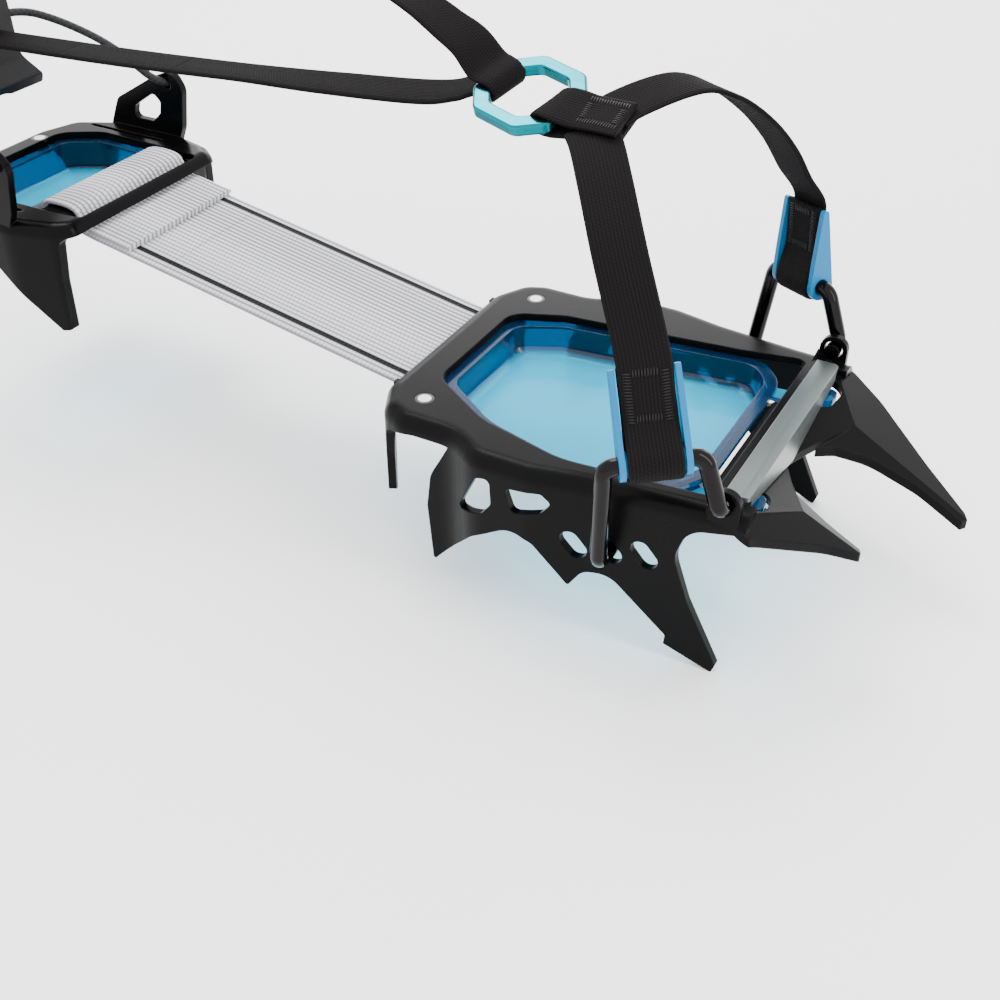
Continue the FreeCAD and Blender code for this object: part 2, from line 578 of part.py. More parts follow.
def heel_lever():
    side = [(-192.5, 47.0, 1.5), (-190.8, 51.0, 1.5), (-194.0, 57.0, 4), (-194.0, 74.0, 10), (-195.0, 92.0, 20),
            (-199.5, 110.0, 10), (-206.0, 119.0, 2), (-208.8, 117.5, 1.5), (-204.0, 106.0, 8), (-200.2, 92.0, 20),
            (-200.0, 78.0, 10), (-200.0, 56.0, 6), (-197.5, 46.0, 2)]
    blade = slab_xz(side, -21.0, 21.0)
    front = Part.Face(wire([(-21.0, 46.0, 3), (-21.0, 50.0, 6), (-14.5, 60.0, 8), (-13.5, 90.0, 20), (-12.5, 120.0, 5),
                            (12.5, 120.0, 5), (13.5, 90.0, 20), (14.5, 60.0, 8), (21.0, 50.0, 6), (21.0, 46.0, 3),
                            (12.0, 45.0, 6), (0.0, 49.0, 12), (-12.0, 45.0, 6)],
                           lambda y, z: V(-215, y, z))).extrude(X * 40)
    lever = blade.common(front)
    for z in (68.2, 99.5):
        slot = Part.Face(wire([(-8.4, z - 1.6, 1.5), (8.4, z - 1.6, 1.5), (8.4, z + 1.6, 1.5), (-8.4, z + 1.6, 1.5)],
                              lambda y, w: V(-215, y, w))).extrude(X * 40)
        lever = lever.cut(slot)
    return lever.cut(hole(lever_pivot, Y, cord_d / 2 + 0.08, 60))


# ---- ankle strap ----------------------------------------------------------------------------
ring_across = V(0.309, 0.911, 0.274)
low_strand = [V(1.8, 3.0, 83.0), V(-6.2, 2.0, 80.8), V(-44.5, 0.0, 77.7), V(-73.7, -1.5, 76.3), V(-105.7, -2.0, 74.3),
              V(-135.0, -2.0, 72.6), V(-180.7, 0.0, 69.7), V(-204.0, 0, 68.2)]
high_strand = [V(4.3, 2.0, 97.0), V(-1.6, 1.0, 101.0), V(-10.8, 0, 106.6), V(-26.0, 0, 112.0),
               V(-60.0, 0, 117.5), V(-110.0, 0, 119.0), V(-150.0, 0, 115.0), V(-167.0, 0, 111.0)]


def strand(points):
    stations, last = [], len(points) - 1
    for i, p in enumerate(points):
        run = points[min(i + 1, last)] - points[max(i - 1, 0)]
        turn = min(1.0, i / 4.0)
        across = ring_across * (1 - turn) + Y * turn
        stations.append((p, across, run.cross(across)))
    return ribbon(stations, web_w, web_t)


def ankle_strap():
    """One webbing: lever slot, round the ring's rear bar, back over the ankle to the buckle."""
    profile = [(-16.6, -3.6), (-8.6, -3.6, 2.0), (-8.6, 3.6, 2.0), (-16.6, 3.6), (-16.6, 2.0), (-10.2, 2.0, 0.5),
               (-10.2, -2.0, 0.5), (-16.6, -2.0)]
    plan = [(-17.0, -7.5), (-13.0, -7.5, 2), (-10.6, -4.4), (-8.0, -4.4), (-8.0, 4.4), (-10.6, 4.4), (-13.0, 7.5, 2),
            (-17.0, 7.5)]
    turn = ring_place(slab_xz(profile, -9, 9).common(slab_xy(plan, -6, 6)))
    low = strand([ring_point(-16.4, 0, -2.8)] + low_strand)
    high = strand([ring_point(-16.4, 0, 2.8)] + high_strand)
    return turn.fuse([low, high])


def strap_buckle():
    """Ladder-lock frame with three cross bars."""
    plate = slab_xy([(-13.0, -11.0, 2.5), (13.0, -11.0, 2.5), (13.0, 11.0, 2.5), (-13.0, 11.0, 2.5)], -1.4, 1.4)
    for x0 in (-10.4, -3.0, 4.6):
        plate = plate.cut(slab_xy([(x0, -8.2, 0.8), (x0 + 5.6, -8.2, 0.8), (x0 + 5.6, 8.2, 0.8), (x0, 8.2, 0.8)], -5, 5))
    plate.Placement = FreeCAD.Placement(V(-182.5, 0, 107.0), FreeCAD.Rotation(Y, -12))
    return plate


nodes = {
    "front_frame": front_frame, "front_crossbar": front_crossbar, "front_antiball_plate": front_antiball_plate,
    "front_rivets": front_rivets, "rivet_washers": rivet_washers, "strap_anchor_pin": strap_anchor_pin,
    "left_toe_bail": toe_bail, "right_toe_bail": lambda: left(toe_bail()),
    "left_strap_clip": lambda: strap_clip(left_up), "right_strap_clip": lambda: left(strap_clip(right_up)),
    "left_toe_strap": left_toe_strap, "right_toe_strap": right_toe_strap,
    "strap_ring": strap_ring, "ring_patch": ring_patch, "link_strap": link_strap, "adjuster_bar": adjuster_bar,
    "heel_frame": heel_frame, "heel_antiball_plate": heel_antiball_plate, "heel_rivets": heel_rivets,
    "heel_cord": heel_cord, "cord_stoppers": cord_stoppers, "heel_lever": heel_lever,
    "ankle_strap": ankle_strap, "strap_buckle": strap_buckle,
}
for name, build in nodes.items():
    save(name, build())
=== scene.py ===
"""Looks of a flexible-link crampon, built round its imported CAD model.

Points are written in millimetres in the row frame: +X to the toe, +Y to the wearer's left, +Z up.
"""

import math

import bpy
import numpy as np
from mathutils import Matrix, Vector


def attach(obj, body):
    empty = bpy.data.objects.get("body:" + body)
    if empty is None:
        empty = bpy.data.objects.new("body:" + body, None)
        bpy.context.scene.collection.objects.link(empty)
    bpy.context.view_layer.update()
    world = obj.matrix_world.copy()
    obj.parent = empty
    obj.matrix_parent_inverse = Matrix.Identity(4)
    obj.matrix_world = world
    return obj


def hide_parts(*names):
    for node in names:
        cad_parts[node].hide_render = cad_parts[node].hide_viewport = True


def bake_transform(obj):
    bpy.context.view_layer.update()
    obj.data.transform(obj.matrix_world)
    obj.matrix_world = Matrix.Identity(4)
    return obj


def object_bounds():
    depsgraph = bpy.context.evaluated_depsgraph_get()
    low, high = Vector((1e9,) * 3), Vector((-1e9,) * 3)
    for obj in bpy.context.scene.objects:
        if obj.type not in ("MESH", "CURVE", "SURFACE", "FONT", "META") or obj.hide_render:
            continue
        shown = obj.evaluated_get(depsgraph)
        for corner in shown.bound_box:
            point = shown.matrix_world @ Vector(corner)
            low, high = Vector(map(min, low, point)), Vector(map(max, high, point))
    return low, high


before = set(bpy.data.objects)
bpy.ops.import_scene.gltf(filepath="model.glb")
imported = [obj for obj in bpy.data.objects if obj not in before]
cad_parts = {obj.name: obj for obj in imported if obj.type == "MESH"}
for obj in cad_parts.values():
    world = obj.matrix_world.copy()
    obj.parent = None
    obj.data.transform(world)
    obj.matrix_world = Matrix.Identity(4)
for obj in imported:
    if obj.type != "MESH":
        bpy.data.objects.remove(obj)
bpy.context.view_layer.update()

MM = 0.001


def metres(x, y, z):
    return Vector((x * MM, y * MM, z * MM))


def arr(*p):
    return np.array(p, float)


def unit(v):
    return v / np.linalg.norm(v)


def flip_y(p):
    return arr(p[0], -p[1], p[2])


# ---- camera, floor and light ------------------------------------------------------------------
camera_place = metres(197.2, -330.6, 218.9)
camera_aim = Vector((-0.3876, 0.7038, -0.5953))
lens_length, sensor_width = 48.03, 36.0
floor_half, sky_strength = 6.0, 2.6         # m; strength of the white world


def make_camera():
    data = bpy.data.cameras.new("camera")
    data.lens, data.sensor_width = lens_length, sensor_width
    data.clip_start, data.clip_end = 0.01, 50.0
    camera = bpy.data.objects.new("camera", data)
    camera.location = camera_place
    camera.rotation_euler = camera_aim.to_track_quat("-Z", "Y").to_euler()
    bpy.context.collection.objects.link(camera)
    bpy.context.scene.camera = camera


def area_light(name, place, aim, size, power, colour=(1, 1, 1)):
    data = bpy.data.lights.new(name, "AREA")
    data.shape, data.size, data.size_y = "RECTANGLE", size[0], size[1]
    data.energy, data.color = power, colour
    light = bpy.data.objects.new(name, data)
    light.location = Vector(place)
    light.rotation_euler = (Vector(aim) - Vector(place)).to_track_quat("-Z", "Y").to_euler()
    bpy.context.collection.objects.link(light)


def make_stage():
    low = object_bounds()[0][2]
    mesh = bpy.data.meshes.new("floor")
    corners = [(x * floor_half, y * floor_half, low) for x, y in ((-1, -1), (1, -1), (1, 1), (-1, 1))]
    mesh.from_pydata(corners, [], [(0, 1, 2, 3)])
    floor = bpy.data.objects.new("floor", mesh)
    bpy.context.collection.objects.link(floor)
    mesh.materials.append(floor_paint())
    world = bpy.data.worlds.new("studio")
    world.use_nodes = True
    background = world.node_tree.nodes["Background"]
    background.inputs[0].default_value = (1, 1, 1, 1)
    background.inputs[1].default_value = sky_strength
    bpy.context.scene.world = world
    area_light("key", (-0.45, 0.35, 0.95), (0, 0, 0), (0.5, 0.5), 12)
    area_light("side", (0.75, -0.1, 0.45), (0.05, 0, 0), (0.2, 0.9), 5)
    area_light("rear", (-0.2, 0.9, 0.35), (0, 0, 0.02), (1.2, 0.2), 4)


# ---- materials ----------------------------------------------------------------------------------
def shaded(colour, factor=1.0):
    return (*[min(1, c * factor) for c in colour], 1)


class Paint:
    """A Principled material whose extra nodes are added in one line each."""

    def __init__(self, name, colour, roughness, **more):
        self.material = bpy.data.materials.new(name)
        self.material.use_nodes = True
        self.tree = self.material.node_tree
        self.bsdf = self.tree.nodes["Principled BSDF"]
        self.set(Base_Color=(*colour, 1), Roughness=roughness, **more)

    def set(self, **inputs):
        for key, value in inputs.items():
            self.feed(self.bsdf.inputs[key.replace("_", " ")], value)

    def feed(self, socket, value):
        if isinstance(value, bpy.types.NodeSocket):
            self.tree.links.new(value, socket)
        else:
            socket.default_value = value

    def add(self, kind, inputs=(), out=0, **settings):
        node = self.tree.nodes.new("ShaderNode" + kind)
        for key, value in settings.items():
            setattr(node, key, value)
        for key, value in dict(inputs).items():
            self.feed(node.inputs[key], value)
        return node.outputs[out]

    def place(self):
        return self.add("TexCoord", out="Object")

    def noise(self, scale, detail=2.0, stretch=(1, 1, 1)):
        where = self.add("Mapping", {"Vector": self.place(), "Scale": stretch})
        return self.add("TexNoise", {"Vector": where, "Scale": scale, "Detail": detail}, out="Fac")

    def ramp(self, value, low, high, start=0.0, end=1.0):
        inputs = {"Value": value, "From Min": start, "From Max": end, "To Min": low, "To Max": high}
        return self.add("MapRange", inputs)

    def split(self, vector):
        node = self.tree.nodes.new("ShaderNodeSeparateXYZ")
        self.feed(node.inputs[0], vector)
        return node.outputs

    def blend(self, share, a, b):
        node = self.tree.nodes.new("ShaderNodeMix")
        node.data_type = "RGBA"
        for socket, value in ((node.inputs[0], share), (node.inputs[6], a), (node.inputs[7], b)):
            self.feed(socket, value)
        return node.outputs[2]

    def math(self, operation, a, b=0.0):
        return self.add("Math", {0: a, 1: b}, operation=operation)

    def bump(self, height, strength, distance, normal=None):
        inputs = {"Height": height, "Strength": strength, "Distance": distance}
        if normal is not None:
            inputs["Normal"] = normal
        self.set(Normal=self.add("Bump", inputs))

    def soft_edges(self, radius):
        return self.add("Bevel", {"Radius": radius}, samples=6)


def floor_paint():
    paint = Paint("floor_paint", (0.93, 0.93, 0.93), 0.9)
    grain = paint.noise(60, 3)
    paint.set(Base_Color=paint.blend(grain, (0.92, 0.92, 0.92, 1), (0.94, 0.94, 0.94, 1)))
    return paint.material


def coated_steel(name, base, roughness):
    """Dark electro-coat: faint orange peel, softer edges that have lost a little coat."""
    paint = Paint(name, (base, base, base * 1.08), roughness, Metallic=0.0, Specular_IOR_Level=0.06)
    rounded = paint.soft_edges(0.0006)
    facing = paint.add("VectorMath", {0: rounded, 1: paint.add("NewGeometry", out="Normal")}, out="Value",
                       operation="DOT_PRODUCT")
    edge = paint.ramp(facing, 1.0, 0.0, 0.80, 0.985)
    scuffs = paint.ramp(paint.noise(260, 6), 0.0, 1.0, 0.42, 0.62)
    worn = paint.math("MULTIPLY", edge, scuffs)
    dark = (base, base, base * 1.08, 1)
    paint.set(Base_Color=paint.blend(worn, dark, (0.012, 0.012, 0.013, 1)))
    paint.set(Roughness=paint.ramp(paint.noise(45, 4), roughness * 0.8, roughness * 1.3))
    paint.bump(paint.noise(1500, 2), 0.12, 0.00012, rounded)
    return paint.material


def bare_metal(name, colour, roughness, grain=(1, 1, 1), metallic=1.0):
    paint = Paint(name, colour, roughness, Metallic=metallic)
    lines = paint.noise(900, 3, grain)
    paint.set(Roughness=paint.ramp(lines, roughness * 0.75, roughness * 1.35))
    tint = paint.blend(paint.noise(70, 3), shaded(colour, 0.92), shaded(colour, 1.06))
    paint.set(Base_Color=tint)
    paint.bump(lines, 0.06, 0.0001, paint.soft_edges(0.0004))
    return paint.material


rivet_end_r = 2.1           # the bright end, smaller than the CAD's head


def rivet_metal(name, places):
    """Bright rivet ends, the rest of each head in the frame's black.

    places lists (x, y) of the ends, mirrored in y.
    """
    paint = Paint(name, (0.7, 0.7, 0.72), 0.3, Metallic=0.5)
    place = paint.split(paint.place())
    inside = 0.0
    for x, y in places:
        dx = paint.math("SUBTRACT", place[0], x * MM)
        dy = paint.math("SUBTRACT", paint.math("ABSOLUTE", place[1]), y * MM)
        square = paint.math("ADD", paint.math("MULTIPLY", dx, dx), paint.math("MULTIPLY", dy, dy))
        reach = paint.math("SQRT", square)
        inside = paint.math("MAXIMUM", paint.math("LESS_THAN", reach, rivet_end_r * MM), inside)
    paint.set(Base_Color=paint.blend(inside, (0.002, 0.002, 0.002, 1), (0.75, 0.75, 0.77, 1)))
    paint.set(Metallic=paint.math("MULTIPLY", inside, 0.5))
    paint.bump(paint.noise(900, 3), 0.06, 0.0001, paint.soft_edges(0.0003))
    return paint.material


def clear_blue(name, rim):
    """Translucent moulded plastic, with painted light: cyan, as if lit up through from beneath, where it is
    flat and below rim (a height, m), and shaded deep blue elsewhere.
    """
    paint = Paint(name, (0.1, 0.7, 0.86), 0.12, IOR=1.45, Specular_IOR_Level=0.08)
    facing = paint.split(paint.add("NewGeometry", out="Normal"))
    place = paint.split(paint.place())
    flat = paint.ramp(paint.math("ABSOLUTE", facing[2]), 0.0, 1.0, 0.55, 0.97)
    lit_floor_mask = paint.math("MULTIPLY", flat, paint.ramp(place[2], 1.0, 0.0, rim - 0.005, rim - 0.003))
    # Painted light: the cyan floor stands for light shining up through the plate, and the deep blue walls are
    # its painted shade.
    floor = paint.blend(paint.noise(18, 2), (0.0, 0.36, 0.56, 1), (0.0, 0.44, 0.66, 1))
    paint.set(Base_Color=paint.blend(lit_floor_mask, (0.0, 0.045, 0.13, 1), floor))
    paint.set(Transmission_Weight=paint.ramp(lit_floor_mask, 0.8, 0.35))
    paint.set(Roughness=paint.ramp(paint.noise(35, 3), 0.10, 0.18))
    paint.bump(paint.noise(220, 2), 0.05, 0.0002, paint.soft_edges(0.0004))
    output = paint.tree.nodes["Material Output"]
    through = paint.add("BsdfTransparent", {"Color": (0.25, 0.85, 0.95, 1)})
    ray = paint.add("LightPath", out="Is Shadow Ray")
    mixed = paint.add("MixShader", {0: ray, 1: paint.bsdf.outputs[0], 2: through})
    paint.tree.links.new(mixed, output.inputs["Surface"])
    return paint.material


def moulded(name, colour, roughness, grain=900, strength=0.1):
    paint = Paint(name, colour, roughness, Specular_IOR_Level=0.2)
    paint.set(Roughness=paint.ramp(paint.noise(40, 3), roughness * 0.85, roughness * 1.2))
    tint = paint.blend(paint.noise(25, 2), shaded(colour, 0.9), shaded(colour, 1.1))
    paint.set(Base_Color=tint)
    paint.bump(paint.noise(grain, 3), strength, 0.00015, paint.soft_edges(0.0004))
    return paint.material


def webbing(name, colour, furrow_shade, pick, ribs, width, stripe=None):
    """Woven tape: picks cross it, and painted shade darkens the furrows between its ribs and the dips of the
    weave.

    Its UVs are millimetres across and along. stripe is (distance from the middle, half width, colour,
    length).
    """
    paint = Paint(name, colour, 0.8, Specular_IOR_Level=0.08)
    across, along = paint.split(paint.add("TexCoord", out="UV"))[:2]
    turn = 2 * math.pi
    picks = paint.math("MULTIPLY", along, turn / pick)
    ends = paint.math("MULTIPLY", across, turn * ribs / width / 2)
    slant = paint.math("SINE", paint.math("ADD", picks, ends))
    weave = paint.math("MAXIMUM", slant, paint.math("SINE", paint.math("SUBTRACT", picks, ends)))
    rib = paint.math("MULTIPLY", paint.math("ADD", across, width / 2), math.pi * ribs / width)
    crest = paint.math("ABSOLUTE", paint.math("SINE", rib))
    height = paint.math("ADD", weave, paint.math("MULTIPLY", paint.noise(2600, 3), 0.8))
    # Colour: painted shade in the furrows between ribs and where the weave dips, with random tone from noise;
    # the dark share is colour times furrow_shade (the fleck argument).
    body = paint.math("MULTIPLY", crest, crest)
    light = paint.math("ADD", paint.math("MULTIPLY", body, 2.0), paint.math("MULTIPLY", height, 0.45))
    shade = paint.ramp(light, 0.0, 1.0, 0.15, 2.1)
    tint = paint.blend(shade, shaded(colour, furrow_shade), shaded(colour))
    if stripe:
        middle, half, dark, reach = stripe
        offset = paint.math("ABSOLUTE", paint.math("SUBTRACT", paint.math("ABSOLUTE", across), middle))
        inside = paint.math("LESS_THAN", offset, half)
        line = paint.blend(paint.ramp(slant, 0.0, 1.0, 0.3, 1.0), shaded(dark), shaded(dark, 3))
        main_run = paint.math("LESS_THAN", along, reach)
        tint = paint.blend(paint.math("MULTIPLY", inside, main_run), tint, line)
    paint.set(Base_Color=tint)
    paint.bump(height, 0.5, 0.00008)
    return paint.material


paints = {
    "frame": coated_steel("black_coat", 0.002, 0.28),
    "heel": coated_steel("gloss_coat", 0.0015, 0.2),
    "crossbar": bare_metal("crossbar_steel", (0.15, 0.175, 0.17), 0.32, (1, 0.05, 1), 0.85),
    "rivet": rivet_metal("rivet_ends", ((9.0, 36.9), (-195.0, 16.2))),
    "steel": bare_metal("pin_steel", (0.5, 0.5, 0.52), 0.3, (1, 0.05, 1)),
    "wire": bare_metal("dark_nickel", (0.013, 0.012, 0.012), 0.12),
    "teal": bare_metal("teal_anodised", (0.0, 0.15, 0.18), 0.24, (0.1, 0.1, 1)),
    "blue_toe": clear_blue("clear_blue_toe", -0.0026),
    "blue_heel": clear_blue("clear_blue_heel", 0.0236),
    "clip": moulded("clip_blue", (0.0, 0.13, 0.30), 0.35, 700, 0.05),
    "plastic": moulded("lever_black", (0.004, 0.004, 0.005), 0.42, 1100, 0.35),
    "black_web": webbing("black_webbing", (0.0055, 0.0045, 0.005), 0.3, 1.1, 15, 15.0),
    "pale_web": webbing("pale_webbing", (0.60, 0.60, 0.64), 0.16, 1.5, 27, 56.0,
                        stripe=(22.9, 1.15, (0.008, 0.008, 0.009), 160.0)),
    "thread": moulded("thread_black", (0.008, 0.007, 0.008), 0.45, 3000, 0.4),
}
node_paint = {
    "front_frame": "frame", "heel_frame": "heel", "front_crossbar": "crossbar", "front_rivets": "rivet",
    "heel_rivets": "rivet", "rivet_washers": "steel", "strap_anchor_pin": "steel", "adjuster_bar": "frame",
    "left_toe_bail": "wire", "right_toe_bail": "wire", "left_strap_clip": "clip", "right_strap_clip": "clip",
    "strap_ring": "teal", "front_antiball_plate": "blue_toe", "heel_antiball_plate": "blue_heel",
    "heel_lever": "plastic", "cord_stoppers": "plastic", "strap_buckle": "frame",
}


def paint_nodes():
    for node, key in node_paint.items():
        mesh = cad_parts[node].data
        mesh.materials.clear()
        mesh.materials.append(paints[key])


# ---- webbing --------------------------------------------------------------------------------------
class Tape:
    """A webbing's centre line, resampled evenly through stations (centre, across, width share)."""

    def __init__(self, stations, step=1.0):
        rows = np.array([[*centre, *unit(np.array(across, float)), *(share or [1.0])]
                         for centre, across, *share in stations])
        fine = self.catmull(rows)
        length = np.r_[0, np.cumsum(np.linalg.norm(np.diff(fine[:, :3], axis=0), axis=1))]
        count = max(3, int(round(length[-1] / step)) + 1)
        self.s = np.linspace(0, length[-1], count)
        even = np.array([np.interp(self.s, length, fine[:, k]) for k in range(7)]).T
        self.centre, self.share = even[:, :3], even[:, 6]
        along = np.gradient(self.centre, axis=0)
        self.along = along / np.linalg.norm(along, axis=1)[:, None]
        across = even[:, 3:6] - self.along * np.sum(even[:, 3:6] * self.along, axis=1)[:, None]
        self.across = across / np.linalg.norm(across, axis=1)[:, None]
        self.normal = np.cross(self.across, self.along)

    @staticmethod
    def catmull(rows, steps=24):
        padded = np.vstack([2 * rows[0] - rows[1], rows, 2 * rows[-1] - rows[-2]])
        out = []
        for i in range(1, len(padded) - 2):
            p0, p1, p2, p3 = padded[i - 1:i + 3]
            gap = [max(1e-3, np.linalg.norm(q[:3] - p[:3]) ** 0.5) for p, q in ((p0, p1), (p1, p2), (p2, p3))]
            m1 = (p2 - p1) / gap[1] - (p2 - p0) / (gap[0] + gap[1]) + (p1 - p0) / gap[0]
            m2 = (p3 - p2) / gap[2] - (p3 - p1) / (gap[1] + gap[2]) + (p2 - p1) / gap[1]
            m1, m2 = m1 * gap[1], m2 * gap[1]
            for t in np.linspace(0, 1, steps, endpoint=False):
                out.append((2 * t**3 - 3 * t**2 + 1) * p1 + (t**3 - 2 * t**2 + t) * m1
                           + (3 * t**2 - 2 * t**3) * p2 + (t**3 - t**2) * m2)
        return np.array(out + [padded[-2]])

    def part(self, first, last):
        """The stretch between two sample indices, with the cut sections shared."""
        piece = object.__new__(Tape)
        for key in ("s", "centre", "share", "along", "across", "normal"):
            setattr(piece, key, getattr(self, key)[first:last + 1])
        return piece

    def index(self, test):
        return int(np.argmin([test(c) for c in self.centre]))

    def nearest(self, place):
        return self.index(lambda c: np.linalg.norm(c - place))

    def point(self, s, u, lift):
        columns = np.hstack([self.centre, self.across, self.normal]).T
        row = np.array([np.interp(s, self.s, column) for column in columns])
        return row[:3] + unit(row[3:6]) * u + unit(row[6:]) * lift


def new_mesh(name, verts, faces, paint):
    mesh = bpy.data.meshes.new(name)
    mesh.from_pydata([tuple(v) for v in np.array(verts) * MM], [], faces)
    mesh.materials.append(paints[paint])
    for polygon in mesh.polygons:
        polygon.use_smooth = True
    obj = bpy.data.objects.new(name, mesh)
    bpy.context.collection.objects.link(obj)
    return obj


def section(width, thick, ribs, depth, per_rib=4):
    """Closed cross-section: ribbed faces between rounded selvedges, as (across, height) points."""
    edge = thick / 2
    inner = width / 2 - edge
    count = ribs * per_rib
    u = np.linspace(-inner, inner, count + 1)
    rib = thick / 2 - depth * (1 - np.abs(np.sin(np.linspace(0, ribs * math.pi, count + 1))))
    arc = [(inner + edge * math.sin(a), (thick / 2 - depth) * math.cos(a))
           for a in np.linspace(0.4, math.pi - 0.4, 5)]
    top = list(zip(u, rib))
    bottom = [(a, -h) for a, h in reversed(top)]
    return np.array(top + arc + bottom + [(-a, h) for a, h in reversed(arc)])


def tape_mesh(name, tape, width, thick, ribs, depth, paint):
    ring = section(width, thick, ribs, depth)
    n, rows = len(ring), len(tape.s)
    across = ring[:, 0][None, :, None] * tape.share[:, None, None] * tape.across[:, None, :]
    verts = tape.centre[:, None, :] + across + ring[:, 1][None, :, None] * tape.normal[:, None, :]
    verts = verts.reshape(-1, 3)
    faces = [(i * n + j, i * n + (j + 1) % n, (i + 1) * n + (j + 1) % n, (i + 1) * n + j)
             for i in range(rows - 1) for j in range(n)]
    faces += [tuple(range(n - 1, -1, -1)), tuple((rows - 1) * n + j for j in range(n))]
    obj = new_mesh(name, verts, faces, paint)
    uv = obj.data.uv_layers.new(name="tape")
    index = np.zeros(len(obj.data.loops), int)
    obj.data.loops.foreach_get("vertex_index", index)
    coords = np.column_stack([ring[index % n, 0], tape.s[index // n]])
    uv.data.foreach_set("uv", coords.ravel())
    for polygon in list(obj.data.polygons)[-2:]:
        polygon.use_smooth = False
    return obj


def stitches(name, tape, boxes, thick, paint="thread", pitch=0.8, reach=2.3, radius=0.24):
    """Satin bar tacks round each box (s0, s1, u half, face): threads that dip into the tape at both ends."""
    verts, faces = [], []
    crown, sink = 0.18, 0.08
    rings, count = 5, 6             # along a thread and round it
    sides = [(math.cos(a), math.sin(a)) for a in np.linspace(0, 2 * math.pi, count, endpoint=False)]

    def thread(s, u, ds, du, face):
        base = len(verts)
        for t in np.linspace(-0.5, 0.5, rings):
            lift = face * (thick / 2 + crown * math.cos(math.pi * t) - sink)
            a = tape.point(s + ds * t, u + du * t, lift)
            up = tape.point(s + ds * t, u + du * t, lift + face) - a
            run = tape.point(s + ds * 0.5, u + du * 0.5, lift) - tape.point(s, u, lift)
            side = unit(np.cross(up, run))
            fat = radius * (0.55 + 0.45 * math.cos(math.pi * t))
            verts.extend(a + side * c * fat + up * w * fat * 0.7 for c, w in sides)
        for k in range(rings - 1):
            first, second = base + k * count, base + (k + 1) * count
            for j in range(count):
                after = (j + 1) % count
                faces.append((first + j, first + after, second + after, second + j))
        faces.append(tuple(base + j for j in reversed(range(count))))
        faces.append(tuple(base + (rings - 1) * count + j for j in range(count)))

    for s0, s1, half, face in boxes:
        for s in np.arange(s0, s1 + 0.01, pitch):
            for side in (-1, 1):
                thread(s, side * (half - reach / 2), 0.25, side * reach, face)
        inner = half - reach - 0.5
        for u in np.arange(-inner, inner + 0.01, pitch):
            for s in (s0 + reach / 2 - 0.4, s1 - reach / 2 + 0.4):
                thread(s, u, reach, 0.2, face)
    return new_mesh(name, verts, faces, paint)


# ---- toe straps --------------------------------------------------------------------------------
web_width, web_thick, web_ribs, web_depth = 15.0, 1.6, 15, 0.13
bail_rear_top, bail_front_top = arr(83.0, 67.0, 17.5), arr(105.5, 52.5, 20.0)
clip_at = (bail_rear_top + bail_front_top) * 0.5
clip_loop_r = 4.45          # of the webbing's middle round the clip's saddle
tack_half = 6.2             # half the width of a sewn box on a toe strap
ring_centre, ring_tilt = arr(25.9, -1.8, 86.5), (-17.0, 6.0, 16.0)      # tilt: yaw, pitch, roll in degrees


def ring_axes():
    yaw, pitch, roll = (math.radians(a) for a in ring_tilt)
    turn = Matrix.Rotation(yaw, 3, "Z") @ Matrix.Rotation(pitch, 3, "Y") @ Matrix.Rotation(roll, 3, "X")
    return np.array(turn)


ring_turn = ring_axes()


def ring_point(x, y, z):
    return ring_centre + ring_turn @ arr(x, y, z)


def clip_frame(up):
    """The clip's axes: u along its saddle, w up the webbing, and their normal."""
    u = unit(bail_front_top - bail_rear_top)
    w = unit(up - u * np.dot(up, u))
    return u, w, np.cross(u, w)


def toe_strap(side, up, rise, ends, end_across):
    """Webbing doubled round the clip's saddle, then up and over the toe into the patch."""
    u, w, n = clip_frame(arr(*up))

    def mirror(p):
        return flip_y(p) if side == "right" else p

    def local(a, b):
        return clip_at + w * a + n * b

    back = ((25.5, 0.95), (18.0, 0.95), (10.0, 1.2), (4.6, 2.9))
    loop = [(clip_loop_r * math.sin(t), clip_loop_r * math.cos(t))
            for t in np.radians([20, -15, -50, -90, -130, -165, -200])]
    front = ((4.8, -2.8), (10.0, -1.1), (18.0, -0.75), (26.5, -0.75))
    stations = [(local(a, b), u) for a, b in (*back, *loop, *front)]
    tail = [arr(*p) for p in rise] + ends
    for i, p in enumerate(tail):
        turn = min(1.0, (i + 1) / (len(tail) - 1.0))
        stations.append((p, u * (1 - turn) + end_across * turn))
    tape = Tape([(mirror(p), mirror(a)) for p, a in stations], 0.9)
    strap = tape_mesh(side + "_toe_webbing", tape, web_width, web_thick, web_ribs, web_depth, "black_web")
    far, near = tape.nearest(mirror(local(24.5, -0.75))), tape.nearest(mirror(local(11.0, -1.0)))
    boxes = [(tape.s[near], tape.s[far], tack_half, face) for face in (-1, 1)]
    boxes += [(1.5, 14.5, tack_half, face) for face in (1, -1)]
    tacks = stitches(side + "_toe_strap_stitching", tape, boxes, web_thick)
    for piece in (strap, tacks):
        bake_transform(piece)
    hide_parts(side + "_toe_strap")


def make_toe_straps():
    toe_strap("left", (0, 0, 1),
              [(88.8, 54.0, 55.9), (85.3, 46.0, 67.3), (80.1, 37.0, 77.9), (72.8, 28.0, 86.2),
               (65.2, 19.5, 90.1)],
              [ring_point(24.8, 12.0, 0), ring_point(24.6, 5.4, 0)], ring_turn @ arr(1, 0, 0))
    toe_strap("right", (-12.0, -14.0, 27.0), [(70.3, 36.0, 64.3), (60.0, 24.0, 76.4)],
              [flip_y(ring_point(29.6, -4.6, 0)), flip_y(ring_point(24.5, -1.4, 0))],
              flip_y(ring_turn @ arr(0.53, 0.85, 0)))


